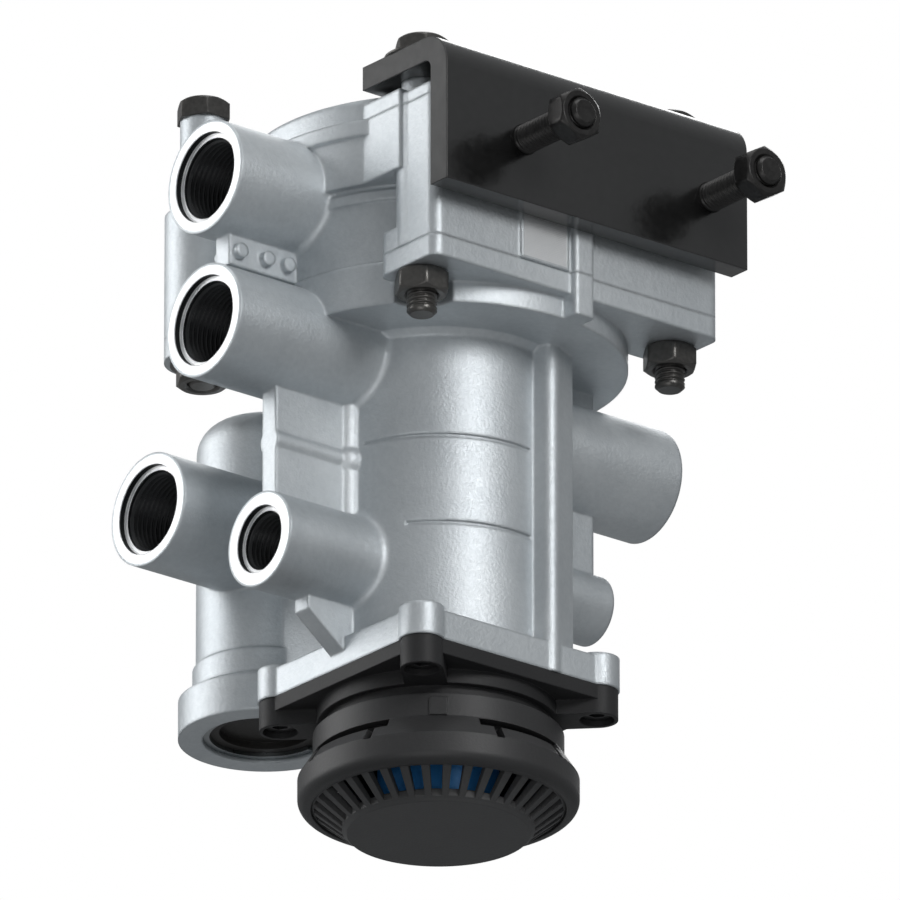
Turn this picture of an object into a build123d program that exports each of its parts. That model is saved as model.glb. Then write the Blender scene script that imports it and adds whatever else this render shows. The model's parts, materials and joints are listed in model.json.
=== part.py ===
from build123d import *
import math
import os

os.makedirs("parts", exist_ok=True)

# Sizes are millimetres. Heights run upwards from the joint face under the body's foot, and x and y
# run from the axis of the round column. The model's own origin is the middle of the frame studs.

# The frame studs, seen from the column's axis and from the top of the front bosses
stud_drop = 18.2
bracket_reach = 62.0
stud_middle_x = 10.5

# Column, foot and the round flange on top of the column
column_r = 31.0
foot_half = 34.0
foot_height = 8.0
foot_corner_r = 3.0
foot_post_r = 6.0
foot_post_rise = 1.0
seam_height = 104.0
ring_r = 50.0
ring_height = 12.0
lower_line_height = 37.5
lower_line_start = -145.0
upper_line_drop = 42.0
upper_line_start = -168.0
line_end = -78.0
line_depth = 0.5
line_width = 1.0
duct_angle = -63.0
duct_width = 14.0
duct_depth = 12.0
duct_proud = 5.5
duct_corner_r = 3.0

# Front slab of the flange, its rib and its pad
slab_left = -44.5
slab_right = 52.5
slab_front = -53.0
slab_depth = 23.0
slab_rise = 22.0
slab_corner_r = 3.0
corner_depth = 13.0
corner_width = 13.5
corner_top = 3.2
notch_length = 20.0
notch_rise = 6.0
slab_rib_x = 5.0
slab_rib_width = 6.5
slab_rib_proud = 2.0
slab_pad_x = -7.5
slab_pad_width = 16.0
slab_pad_height = 14.0
slab_pad_proud = 0.8

# Upper housing and cover
barrel_r = 49.5
crown_r = 52.0
rim_r = 53.0
rim_height = 4.3
housing_height = 39.8
cover_thickness = 6.7
cover_edge_r = 2.0
bead_drop = 4.5
bead_height = 3.0
bead_proud = 0.8
flank_left = -45.5
flank_back = -18.0
flank_rise = 4.5

# Through bolts and their bosses
front_bolt_y = -40.0
rear_bolt_y = 46.0
front_left_bolt_x = -38.0
rear_left_bolt_x = -43.0
right_bolt_x = 46.0
front_boss_r = 6.8
front_pin_r = 5.4
rear_boss_r = 10.2
rear_post_r = 6.2
boss_rise = 6.0
front_boss_rise = 7.4
rear_boss_rise = 23.1
boss_web = 9.0
post_web = 6.0
post_web_run = 24.0
bolt_r = 4.0
bolt_clearance = 0.4
bolt_tail = 5.5
hex_flats = 13.0
bolt_head_height = 5.5
flange_head_r = 10.0
flange_head_height = 1.6
flange_hex_height = 4.4
nut_height = 6.5
flange_nut_r = 8.6
flange_nut_height = 1.5
nut_room = 1.0
thread_clearance = 0.02

# Frame bracket and frame studs
bracket_left = -47.5
bracket_right = 54.5
bracket_drop = 17.5
bracket_thickness = 6.6
bracket_top_width = 35.0
bracket_bend_r = 9.0
stud_half_span = 31.5
stud_r = 4.0
stud_reach = 25.0
stud_head_r = 7.0
stud_head_height = 1.8
stud_tip = 1.5

# Threaded ports: thread sizes, x of the face, and where the middle sits
wide_port_r = 15.5
wide_thread_r = 11.0
wide_mouth_r = 12.3
wide_thread_length = 16.0
narrow_port_r = 13.0
narrow_thread_r = 8.0
narrow_mouth_r = 9.2
narrow_thread_length = 13.0
mouth_depth = 1.8
top_port_x = -78.0
top_port_y = 1.0
top_port_drop = 15.9
upper_port_x = -77.5
upper_port_y = 2.0
upper_port_drop = 16.2
side_port_x = -61.8
side_port_y = 45.0
side_port_drop = 52.3
small_port_x = -60.2
small_port_y = 0.0
small_port_height = 29.9
right_port_x = 63.0
right_port_y = -9.0
right_port_drop = 31.5
test_port_x = 44.5
test_port_drop = 40.0
test_port_r = 9.5
test_thread_r = 6.0
test_mouth_r = 7.0
test_thread_length = 10.0
wide_passage_r = 6.0
narrow_passage_r = 5.0
control_passage_r = 4.5
test_passage_r = 2.5
passage_room = 2.0
root_fillet = 2.2
ring_cone = 1.8
port_web = 5.6
port_web_left = -57.0
foot_web_left = -46.0
foot_web_drop = 3.5
foot_web_foot = 4.0
port_rib_drop = 29.6
port_rib_r = 3.6
web_root_r = 4.4
rib_knob_r = 5.4
seam_web_left = -72.0
seam_bead_r = 2.0
seam_bead_length = 9.6
seam_bead_places = (-69.0, -60.0, -53.0)
right_web = 8.0
right_web_end = 42.0

# Bores inside the body
relay_bore_r = 26.0
relay_floor_rise = 9.5
seat_ridge_height = 1.5
seat_bore_r = 12.0
seat_ridge_r = 13.6
seat_height = 42.5
chamber_r = 20.0
guide_shoulder = 7.0
guide_bore_r = 24.0
spigot_bore_r = 29.0
spigot_depth = 4.8
spigot_wall = 5.0

# Bores inside the upper housing
control_bore_r = 42.0
control_floor_rise = 8.0
control_hub_r = 14.0
cover_spigot_depth = 5.0
cover_spigot_wall = 6.0

# Fits
running_fit = 0.05
seat_fit = 0.05
spigot_fit = 0.05
ring_width = 2.6
ring_depth = 2.4
ring_fit = 0.02

# Control piston and relay piston
control_room = 9.0
control_disc_height = 7.0
piston_travel = 5.5
control_stem_r = 8.0
control_dish = 3.0
control_hub_r_top = 12.0
control_dish_wall = 6.0
relay_disc_drop = 16.0
relay_disc_height = 8.0
relay_stem_r = 9.0
relay_lip_wall = 2.5
relay_lip_depth = 3.0
exhaust_gap = 2.5

# Inlet valve, its spring and its guide
valve_sleeve_r = 11.0
valve_hollow_r = 7.5
valve_sleeve_bottom = 6.0
valve_head_r = 16.0
valve_head_height = 3.0
valve_face_height = 3.0
valve_face_r = 15.5
guide_flange_height = 5.0
guide_sleeve_r = 15.8
guide_top = 20.0
guide_ring_height = 12.0
valve_spring_r = 13.5
valve_spring_wire_r = 1.0
valve_spring_turns = 4

# Exhaust flange and its screws
plate_thickness = 4.0
plate_rim_r = 32.0
plate_rim_height = 4.0
exhaust_hole_r = 12.0
neck_r = 30.0
neck_wall = 2.6
neck_length = 17.0
screw_offset = 29.5
screw_r = 2.5
screw_length = 12.0
screw_head_r = 4.2
screw_head_height = 2.6
screw_socket_flats = 4.0
screw_socket_depth = 1.6
lug_r = 5.6
lug_height = 4.0
pocket_r = 4.6
pocket_depth = 4.2

# Silencer
sleeve_r = 33.0
sleeve_top = -11.3
flare_top = -17.5
flare_bottom = -23.5
rim_outer_r = 37.0
rim_wall = 2.3
rim_foot = -31.5
rim_edge_r = 2.8
lip_proud = 1.2
lip_height = 2.0
sleeve_fit = 0.1
clip_count = 4
clip_start = -110.5
clip_turn = 49.0
clip_top = -17.8
clip_width = 2.4
clip_drop = 6.0
clip_drop_turn = 3.5
clip_drop_inset = 6.0
tab_turn = -129.0
tab_width = 4.6
tab_height = 5.0
tab_proud = 0.6
cap_wall = 2.0
cap_skirt_height = 5.0
disc_r = 24.0
disc_bottom = -38.2
disc_thickness = 2.0
disc_step = 0.8
slot_count = 36
slot_turn = 6.0
slot_inner_r = 25.3
slot_outer_r = 32.7
element_r = 16.0
element_wall = 3.6

# Side cylinder, plug and throttle spool
side_x = -16.0
side_y = 53.0
side_r = 18.3
side_mouth_r = 22.9
side_bottom = 0.0
side_mouth_height = 12.5
side_mouth_chamfer = 2.0
side_band_r = 19.2
side_band_top = 19.0
side_band_chamfer = 0.8
side_drop = 15.0
side_dome_r = 9.0
side_link = 24.0
side_link_drop = 9.0
plug_bore_r = 16.5
plug_bottom = 2.2
plug_floor = 4.6
plug_dish_r = 12.0
plug_dish_depth = 2.0
spool_bore_r = 14.0
spool_bore_bottom = 12.0
spool_bore_roof = 23.0
spool_bottom = 24.0
spool_land = 9.0
spool_waist_r = 8.0
spool_stop_height = 2.0
spool_stop_r = 6.0
spool_travel = 8.0
side_passage_r = 4.0
side_passage_height = 38.0
spool_spring_r = 9.5
spool_spring_wire_r = 0.8
spool_spring_turns = 5
spring_room = 1.2
snap_ring_height = 1.2
snap_ring_proud = 1.9
snap_groove_depth = 1.1
snap_ring_opening = 40.0

ring_bottom = seam_height - ring_height
boss_bottom = ring_bottom + boss_rise
slab_top = seam_height + slab_rise
cover_seam = seam_height + housing_height
front_boss_top = cover_seam + front_boss_rise
rear_boss_top = cover_seam + rear_boss_rise
bracket_top = front_boss_top + bracket_thickness
stud_height = front_boss_top - stud_drop
column_x = -stud_middle_x
column_y = bracket_reach
foot_z = -stud_height
top_port = (top_port_x, top_port_y, cover_seam - top_port_drop)
upper_port = (upper_port_x, upper_port_y, seam_height - upper_port_drop)
side_port = (side_port_x, side_port_y, seam_height - side_port_drop)
small_port = (small_port_x, small_port_y, small_port_height)
right_port = (right_port_x, right_port_y, seam_height - right_port_drop)
test_port = (test_port_x, right_port_y, right_port[2] - test_port_drop)
port_rib_height = upper_port[2] - port_rib_drop
lines = [(lower_line_height, lower_line_start), (seam_height - upper_line_drop, upper_line_start)]
seat_web_bottom = seat_height + seat_ridge_height
relay_floor = seat_height + relay_floor_rise
control_floor = seam_height + control_floor_rise
control_disc_bottom = control_floor + control_room
control_disc_top = control_disc_bottom + control_disc_height
control_hub_top = control_disc_bottom - piston_travel - seat_fit
relay_disc_top = seam_height - relay_disc_drop
relay_disc_bottom = relay_disc_top - relay_disc_height
side_top = seam_height - side_drop
spool_bore_top = side_top - spool_bore_roof
spool_top = spool_bore_top - spool_stop_height
spool_land_r = spool_bore_r - running_fit
plate_bottom = -plate_thickness
neck_bottom = plate_bottom - neck_length
rim_bore_r = rim_outer_r - rim_wall
lip_r = rim_bore_r - lip_proud
lip_top = rim_foot + lip_height
cap_skirt_r = rim_bore_r - spigot_fit
hex_corner_r = hex_flats / math.sqrt(3)

column_axis = Axis((column_x, column_y, foot_z), (0, 0, 1))
side_axis = Axis((column_x + side_x, column_y + side_y, foot_z), (0, 0, 1))
meridian = Plane((column_x, column_y, foot_z), x_dir=(1, 0, 0), z_dir=(0, -1, 0))
side_meridian = Plane((column_x + side_x, column_y + side_y, foot_z), x_dir=(1, 0, 0), z_dir=(0, -1, 0))
standing = (Align.CENTER, Align.CENTER, Align.MIN)

front_bolts = [(front_left_bolt_x, front_bolt_y), (right_bolt_x, front_bolt_y)]
rear_bolts = [(rear_left_bolt_x, rear_bolt_y), (right_bolt_x, rear_bolt_y)]
screw_points = [(x, y) for x in (-screw_offset, screw_offset) for y in (-screw_offset, screw_offset)]


def level(height, x=0.0, y=0.0):
    return Plane((column_x + x, column_y + y, foot_z + height))


def post(height, point, radius, length, mode=Mode.ADD):
    with Locations(level(height, *point)):
        Cylinder(radius, length, align=standing, mode=mode)


def hexagon(height, point, length, mode=Mode.ADD):
    with BuildSketch(level(height, *point)) as outline:
        RegularPolygon(hex_corner_r, 6)
    extrude(outline.sketch, amount=length, mode=mode)


def port_plane(port):
    x, y, height = port
    inward = -math.copysign(1.0, x)
    origin = (column_x + x, column_y + y, foot_z + height)
    return Plane(origin, x_dir=(0, 1, 0), z_dir=(inward, 0, 0))


def port_boss(port, radius, end):
    with Locations(port_plane(port)):
        Cylinder(radius, abs(end - port[0]), align=standing)


def rooted_boss(casting, port, radius, end):
    port_boss(port, radius, end)
    fillet(casting.edges(Select.NEW), root_fillet)


def port_bore(port, mouth_r, thread_r, thread_length):
    with Locations(port_plane(port)):
        Cylinder(mouth_r, mouth_depth, align=standing, mode=Mode.SUBTRACT)
        Cylinder(thread_r, mouth_depth + thread_length, align=standing, mode=Mode.SUBTRACT)


def passage(port, thread_length, radius, end):
    # The passage starts a little inside the thread, so that a sloping end stays within the bore
    x, y, height = port
    inward = -math.copysign(1.0, x)
    start = Vector(x + inward * (mouth_depth + thread_length - radius / 2), y, height)
    run = Vector(*end) - start
    shift = Vector(column_x, column_y, foot_z)
    with Locations(Plane(start + shift, z_dir=run)):
        Cylinder(radius, run.length, align=standing, mode=Mode.SUBTRACT)


def radial_web(height, point, width, length):
    x, y = point
    turn = math.degrees(math.atan2(y, x))
    with BuildSketch(level(height)) as outline:
        with Locations((x / 2, y / 2)):
            Rectangle(math.hypot(x, y), width, rotation=turn)
    extrude(outline.sketch, amount=length)


def front_slab(bottom, top):
    middle = (slab_left + slab_right) / 2
    with BuildSketch(level(bottom, middle, slab_front + slab_depth / 2)) as outline:
        RectangleRounded(slab_right - slab_left, slab_depth, slab_corner_r)
    extrude(outline.sketch, amount=top - bottom)


def corner_block(bottom, top):
    # The rounded front left corner that backs the bolt boss
    with BuildSketch(level(bottom, slab_left + corner_width / 2, slab_front + corner_depth / 2)) as outline:
        RectangleRounded(corner_width, corner_depth, slab_corner_r)
    extrude(outline.sketch, amount=top - bottom)


def flank_block(bottom, top):
    # The flat side that joins the barrel to the front left boss
    depth = flank_back - front_bolt_y
    with Locations(level(bottom, flank_left, front_bolt_y)):
        Box(-flank_left, depth, top - bottom, align=(Align.MIN, Align.MIN, Align.MIN))


def slab_rib(bottom, top):
    middle = slab_front - slab_rib_proud + slab_depth / 2
    with BuildSketch(level(bottom, slab_rib_x, middle)) as outline:
        RectangleRounded(slab_rib_width, slab_depth, slab_rib_proud / 2)
    extrude(outline.sketch, amount=top - bottom)


def upright_web(left, right, y, bottom, top, width):
    with Locations(level(bottom, (left + right) / 2, y)):
        Box(right - left, width, top - bottom, align=standing)


def bolt_holes(points, bottom, top):
    for point in points:
        post(bottom, point, bolt_r + bolt_clearance, top - bottom, Mode.SUBTRACT)


def piston_groove(radius, height):
    with Locations((radius - ring_depth / 2, height)):
        Rectangle(ring_depth, ring_width, mode=Mode.SUBTRACT)


def seal_ring(outer_r, inner_r, height, plane=meridian):
    # A square ring that fills its groove but for a small fit
    width = ring_width - 2 * ring_fit
    with BuildSketch(plane) as section:
        with Locations(((outer_r + inner_r) / 2, height)):
            RectangleRounded(outer_r - inner_r, width, width / 4)
    return section.sketch


def coil(radius, wire_r, turns, bottom, top, point=(0.0, 0.0)):
    rise = top - bottom - 2 * wire_r - 2 * seat_fit
    foot = level(bottom + wire_r + seat_fit, *point)
    path = Helix(rise / turns, rise, radius, center=foot.origin)
    with BuildSketch(Plane(path @ 0, z_dir=path % 0)) as section:
        RegularPolygon(wire_r, 8)
    sweep(section.sketch, path=path, is_frenet=True)


# Valve body: the lower casting
with BuildPart() as valve_body:
    post(0, (0, 0), column_r, seam_height)
    rooted_boss(valve_body, small_port, narrow_port_r, 0)
    rooted_boss(valve_body, test_port, test_port_r, 0)
    rooted_boss(valve_body, right_port, wide_port_r, 0)
    rooted_boss(valve_body, upper_port, wide_port_r, 0)
    post(ring_bottom, (0, 0), ring_r, ring_height)
    with BuildSketch(meridian):
        with BuildLine():
            Polyline(
                (0, ring_bottom - ring_cone),
                (column_r, ring_bottom - ring_cone),
                (column_r + ring_cone, ring_bottom),
                (0, ring_bottom),
                close=True,
            )
        make_face()
    revolve(axis=column_axis)
    for height, start in lines:
        with BuildSketch(meridian) as groove:
            with Locations((column_r, height)):
                Rectangle(2 * line_depth, line_width)
        groove_section = groove.sketch.rotate(column_axis, start)
        revolve(groove_section, axis=column_axis, revolution_arc=line_end - start, mode=Mode.SUBTRACT)
    front_slab(boss_bottom, seam_height)
    slab_rib(ring_bottom, seam_height)
    for point in rear_bolts:
        post(boss_bottom, point, rear_boss_r, seam_height - boss_bottom)
        radial_web(boss_bottom, point, boss_web, seam_height - boss_bottom)

    with BuildSketch(level(0)):
        RectangleRounded(2 * foot_half, 2 * foot_half, foot_corner_r)
    extrude(amount=foot_height)
    for point in screw_points:
        post(0, point, foot_post_r, foot_height + foot_post_rise)
        radial_web(0, point, foot_post_r, foot_height + foot_post_rise)

    duct_reach = column_r + duct_proud - duct_depth / 2
    duct_turn = math.radians(duct_angle)
    with BuildSketch(level(0)):
        with Locations((duct_reach * math.cos(duct_turn), duct_reach * math.sin(duct_turn))):
            RectangleRounded(duct_depth, duct_width, duct_corner_r, rotation=duct_angle)
    extrude(amount=seam_height)

    port_boss(side_port, wide_port_r, side_x)
    upright_web(port_web_left, 0, small_port[1], small_port[2], upper_port[2], port_web)
    with BuildSketch(meridian):
        with BuildLine():
            Polyline(
                (foot_web_left, small_port[2]),
                (foot_web_left, small_port[2] - narrow_port_r - foot_web_drop),
                (-foot_half, foot_web_foot),
                (0, foot_web_foot),
                (0, small_port[2]),
                close=True,
            )
        make_face()
    extrude(amount=port_web / 2, both=True)
    upright_web(0, right_web_end, test_port[1], test_port[2], seam_height, right_web)
    with Locations(Plane((column_x, column_y + small_port[1], foot_z + port_rib_height), z_dir=(-1, 0, 0))):
        Cylinder(port_rib_r, -port_web_left, align=standing)
    post(small_port[2], (-column_r, small_port[1]), web_root_r, upper_port[2] - small_port[2])
    with Locations(level(port_rib_height, -column_r, small_port[1])):
        Sphere(rib_knob_r)
    upright_web(seam_web_left, 0, upper_port[1], upper_port[2], seam_height, port_web)

    with BuildSketch(side_meridian):
        with BuildLine():
            Polyline(
                (side_r - side_dome_r, side_top),
                (0, side_top),
                (0, side_bottom),
                (side_mouth_r, side_bottom),
                (side_mouth_r, side_mouth_height - side_mouth_chamfer),
                (side_band_r, side_mouth_height),
                (side_band_r, side_band_top),
                (side_r, side_band_top + side_band_chamfer),
                (side_r, side_top - side_dome_r),
            )
            RadiusArc((side_r, side_top - side_dome_r), (side_r - side_dome_r, side_top), -side_dome_r)
        make_face()
    revolve(axis=side_axis)
    radial_web(0, (side_x, side_y), side_link, side_top - side_link_drop)

    with BuildSketch(meridian):
        with BuildLine():
            Polyline(
                (0, 0),
                (guide_bore_r, 0),
                (guide_bore_r, guide_shoulder),
                (chamber_r, guide_shoulder),
                (chamber_r, seat_web_bottom),
                (seat_ridge_r, seat_web_bottom),
                (seat_ridge_r, seat_height),
                (seat_bore_r, seat_height),
                (seat_bore_r, relay_floor),
                (relay_bore_r, relay_floor),
                (relay_bore_r, seam_height - spigot_depth),
                (spigot_bore_r, seam_height - spigot_depth),
                (spigot_bore_r, seam_height),
                (0, seam_height),
                close=True,
            )
        make_face()
    revolve(axis=column_axis, mode=Mode.SUBTRACT)

    groove_r = plug_bore_r + snap_groove_depth
    with BuildSketch(side_meridian):
        with BuildLine():
            Polyline(
                (0, side_bottom),
                (plug_bore_r, side_bottom),
                (plug_bore_r, plug_bottom - snap_ring_height),
                (groove_r, plug_bottom - snap_ring_height),
                (groove_r, plug_bottom),
                (plug_bore_r, plug_bottom),
                (plug_bore_r, spool_bore_bottom),
                (spool_bore_r, spool_bore_bottom),
                (spool_bore_r, spool_bore_top),
                (0, spool_bore_top),
                close=True,
            )
        make_face()
    revolve(axis=side_axis, mode=Mode.SUBTRACT)

    port_bore(upper_port, wide_mouth_r, wide_thread_r, wide_thread_length)
    port_bore(right_port, wide_mouth_r, wide_thread_r, wide_thread_length)
    port_bore(side_port, wide_mouth_r, wide_thread_r, wide_thread_length)
    port_bore(small_port, narrow_mouth_r, narrow_thread_r, narrow_thread_length)
    port_bore(test_port, test_mouth_r, test_thread_r, test_thread_length)
    relay_port_height = (relay_disc_top + seam_height - spigot_depth) / 2
    outlet_height = relay_floor + wide_passage_r + passage_room
    passage(upper_port, wide_thread_length, control_passage_r, (-relay_bore_r / 2, 0, relay_port_height))
    passage(right_port, wide_thread_length, wide_passage_r, (relay_bore_r / 2, 0, outlet_height))
    passage(side_port, wide_thread_length, wide_passage_r, (side_x, side_port[1], side_port[2]))
    passage(small_port, narrow_thread_length, narrow_passage_r, (-chamber_r / 2, 0, small_port[2]))
    passage(test_port, test_thread_length, test_passage_r, (chamber_r / 2, test_port[1], test_port[2]))
    link_plane = Plane(
        (column_x + side_x, column_y + side_y, foot_z + side_passage_height), z_dir=(-side_x, -side_y, 0)
    )
    with Locations(link_plane):
        link_reach = math.hypot(side_x, side_y) - chamber_r / 2
        Cylinder(side_passage_r, link_reach, align=standing, mode=Mode.SUBTRACT)

    bolt_holes(front_bolts + rear_bolts, boss_bottom, seam_height)
    for point in front_bolts + rear_bolts:
        post(ring_bottom, point, flange_nut_r + nut_room, boss_rise, Mode.SUBTRACT)
    for point in screw_points:
        post(0, point, screw_r + thread_clearance, screw_length, Mode.SUBTRACT)
valve_body.part.label = "valve_body"
export_step(valve_body.part, "parts/valve_body.step")

# Upper housing: the barrel with the top port and the bolt bosses
with BuildPart() as upper_housing:
    front_slab(seam_height, slab_top)
    notch_bottom = seam_height + notch_rise
    with Locations(level(notch_bottom, slab_left + notch_length / 2, slab_front + corner_depth)):
        notch_align = (Align.CENTER, Align.MIN, Align.MIN)
        Box(notch_length, slab_depth, slab_top - notch_bottom, align=notch_align, mode=Mode.SUBTRACT)
    post(seam_height, (0, 0), barrel_r, cover_seam - seam_height)
    rooted_boss(upper_housing, top_port, wide_port_r, 0)
    post(slab_top - bead_drop, (0, 0), barrel_r + bead_proud, bead_height)
    post(slab_top, (0, 0), crown_r, cover_seam - rim_height - slab_top)
    post(cover_seam - rim_height, (0, 0), rim_r, rim_height)
    slab_rib(seam_height, slab_top)
    corner_block(slab_top, cover_seam)
    flank_block(slab_top, cover_seam)
    pad_middle = slab_front - slab_pad_proud + slab_depth / 2
    with BuildSketch(level(seam_height, slab_pad_x, pad_middle)):
        Rectangle(slab_pad_width, slab_depth)
    extrude(amount=slab_pad_height)
    for point in front_bolts:
        post(seam_height, point, front_boss_r, housing_height)
        radial_web(slab_top, point, boss_web, cover_seam - slab_top)
    for point in rear_bolts:
        post(seam_height, point, rear_boss_r, housing_height - rim_height)
        post(seam_height, point, rear_post_r, housing_height)
        radial_web(seam_height, point, boss_web, housing_height)
    upright_web(seam_web_left, 0, top_port[1], seam_height, top_port[2], port_web)
    for x in seam_bead_places:
        with Locations(level(seam_height + 2 * seam_bead_r, x, top_port[1])):
            Cylinder(seam_bead_r, seam_bead_length, rotation=(90, 0, 0))

    spigot_r = spigot_bore_r - spigot_fit
    post(seam_height - spigot_depth + seat_fit, (0, 0), spigot_r, spigot_depth)
    post(seam_height - spigot_depth, (0, 0), spigot_r - spigot_wall, spigot_depth, Mode.SUBTRACT)
    with BuildSketch(meridian):
        with BuildLine():
            Polyline(
                (0, control_hub_top),
                (control_hub_r, control_hub_top),
                (control_hub_r, control_floor),
                (control_bore_r, control_floor),
                (control_bore_r, cover_seam),
                (0, cover_seam),
                close=True,
            )
        make_face()
    revolve(axis=column_axis, mode=Mode.SUBTRACT)
    post(seam_height, (0, 0), control_stem_r + running_fit, control_hub_top - seam_height, Mode.SUBTRACT)

    port_bore(top_port, wide_mouth_r, wide_thread_r, wide_thread_length)
    control_port_height = control_disc_top + control_passage_r + passage_room
    passage(top_port, wide_thread_length, control_passage_r, (-control_bore_r, 0, control_port_height))
    bolt_holes(front_bolts + rear_bolts, seam_height, cover_seam)
upper_housing.part.label = "upper_housing"
export_step(upper_housing.part, "parts/upper_housing.step")

# Cover: the lid with its spigot and the tall rear posts
with BuildPart() as upper_cover:
    post(cover_seam, (0, 0), crown_r, cover_thickness)
    fillet(upper_cover.edges().group_by(Axis.Z)[-1], cover_edge_r)
    for point in front_bolts:
        post(cover_seam, point, front_boss_r, corner_top)
        post(cover_seam, point, front_pin_r, front_boss_rise)
        radial_web(cover_seam, point, boss_web, flank_rise)
    corner_block(cover_seam, cover_seam + corner_top)
    flank_block(cover_seam, cover_seam + flank_rise)
    for point in rear_bolts:
        post(cover_seam, point, rear_post_r, rear_boss_top - cover_seam)
        radial_web(cover_seam, point, boss_web, cover_thickness)
        x, y = point
        reach = math.hypot(x, y)
        web_plane = Plane(
            (column_x, column_y, foot_z), x_dir=(x / reach, y / reach, 0), z_dir=(y / reach, -x / reach, 0)
        )
        with BuildSketch(web_plane):
            with BuildLine():
                Polyline(
                    (reach, cover_seam + cover_thickness),
                    (reach - post_web_run, cover_seam + cover_thickness),
                    (reach, rear_boss_top - cover_edge_r),
                    close=True,
                )
            make_face()
        extrude(amount=post_web / 2, both=True)
    cover_spigot_r = control_bore_r - spigot_fit
    post(cover_seam - cover_spigot_depth, (0, 0), cover_spigot_r, cover_spigot_depth)
    inner_r = cover_spigot_r - cover_spigot_wall
    post(cover_seam - cover_spigot_depth, (0, 0), inner_r, cover_spigot_depth, Mode.SUBTRACT)
    with BuildSketch(meridian):
        with Locations((cover_spigot_r - ring_depth / 2, cover_seam - cover_spigot_depth / 2)):
            Rectangle(ring_depth, ring_width)
    revolve(axis=column_axis, mode=Mode.SUBTRACT)
    bolt_holes(front_bolts + rear_bolts, cover_seam, rear_boss_top)
upper_cover.part.label = "upper_cover"
export_step(upper_cover.part, "parts/upper_cover.step")

# Seal ring in the groove of the cover's spigot
with BuildPart() as cover_seal:
    ring_root = cover_spigot_r - ring_depth + ring_fit
    revolve(seal_ring(cover_spigot_r, ring_root, cover_seam - cover_spigot_depth / 2), axis=column_axis)
cover_seal.part.label = "cover_seal"
export_step(cover_seal.part, "parts/cover_seal.step")

# Bolts that clamp cover, housing, body and bracket, and their nuts
with BuildPart() as front_housing_bolts:
    for point in front_bolts:
        tail = boss_bottom - nut_height - bolt_tail
        post(tail, point, bolt_r, bracket_top - tail)
        post(bracket_top, point, flange_head_r, flange_head_height)
        hexagon(bracket_top, point, flange_head_height + flange_hex_height)
front_housing_bolts.part.label = "front_housing_bolts"
export_step(front_housing_bolts.part, "parts/front_housing_bolts.step")

with BuildPart() as rear_housing_bolts:
    for point in rear_bolts:
        post(boss_bottom - nut_height, point, bolt_r, rear_boss_top - boss_bottom + nut_height)
        hexagon(rear_boss_top, point, bolt_head_height)
rear_housing_bolts.part.label = "rear_housing_bolts"
export_step(rear_housing_bolts.part, "parts/rear_housing_bolts.step")

with BuildPart() as housing_nuts:
    for point in rear_bolts:
        post(boss_bottom - flange_nut_height, point, flange_nut_r, flange_nut_height)
    for point in front_bolts + rear_bolts:
        hexagon(boss_bottom - nut_height, point, nut_height)
        post(boss_bottom - nut_height, point, bolt_r + thread_clearance, nut_height, Mode.SUBTRACT)
housing_nuts.part.label = "housing_nuts"
export_step(housing_nuts.part, "parts/housing_nuts.step")

# Frame bracket: one bent angle
with BuildPart() as frame_bracket:
    leg_top = foot_z + bracket_top
    leg_bottom = -bracket_drop
    with BuildSketch(Plane((column_x + bracket_left, 0, 0), x_dir=(0, 1, 0), z_dir=(1, 0, 0))):
        with BuildLine():
            Polyline(
                (0, leg_bottom),
                (0, leg_top),
                (bracket_top_width, leg_top),
                (bracket_top_width, leg_top - bracket_thickness),
                (bracket_thickness, leg_top - bracket_thickness),
                (bracket_thickness, leg_bottom),
                close=True,
            )
        make_face()
    extrude(amount=bracket_right - bracket_left)
    bend_outer = frame_bracket.edges().filter_by(Axis.X).sort_by(Axis((0, 0, 0), (0, -1, 1)))[-1]
    inner_edges = frame_bracket.edges().filter_by(Axis.X)
    inner_point = (column_x, bracket_thickness, leg_top - bracket_thickness)
    bend_inner = inner_edges.sort_by_distance(inner_point)[0]
    fillet(bend_outer, bracket_bend_r)
    fillet(bend_inner, bracket_bend_r - bracket_thickness)
    bolt_holes(front_bolts, front_boss_top, bracket_top)
    for side in (-1, 1):
        with Locations(Plane((side * stud_half_span, 0, 0), z_dir=(0, 1, 0))):
            Cylinder(stud_r + thread_clearance, bracket_thickness, align=standing, mode=Mode.SUBTRACT)
frame_bracket.part.label = "frame_bracket"
export_step(frame_bracket.part, "parts/frame_bracket.step")

# Frame studs, pressed in from behind, and the nuts that hold the bracket to a frame rail
with BuildPart() as frame_studs:
    for side in (-1, 1):
        with Locations(Plane((side * stud_half_span, bracket_thickness, 0), z_dir=(0, -1, 0))):
            Cylinder(stud_r, bracket_thickness + stud_reach, align=standing)
        with Locations(Plane((side * stud_half_span, bracket_thickness, 0), z_dir=(0, 1, 0))):
            Cylinder(stud_head_r, stud_head_height, align=standing)
frame_studs.part.label = "frame_studs"
export_step(frame_studs.part, "parts/frame_studs.step")

with BuildPart() as frame_nuts:
    for side in (-1, 1):
        nut_face = Plane((side * stud_half_span, stud_tip - stud_reach, 0), z_dir=(0, 1, 0))
        with BuildSketch(nut_face):
            RegularPolygon(hex_corner_r, 6)
            Circle(stud_r + thread_clearance, mode=Mode.SUBTRACT)
        extrude(amount=nut_height)
frame_nuts.part.label = "frame_nuts"
export_step(frame_nuts.part, "parts/frame_nuts.step")

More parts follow.
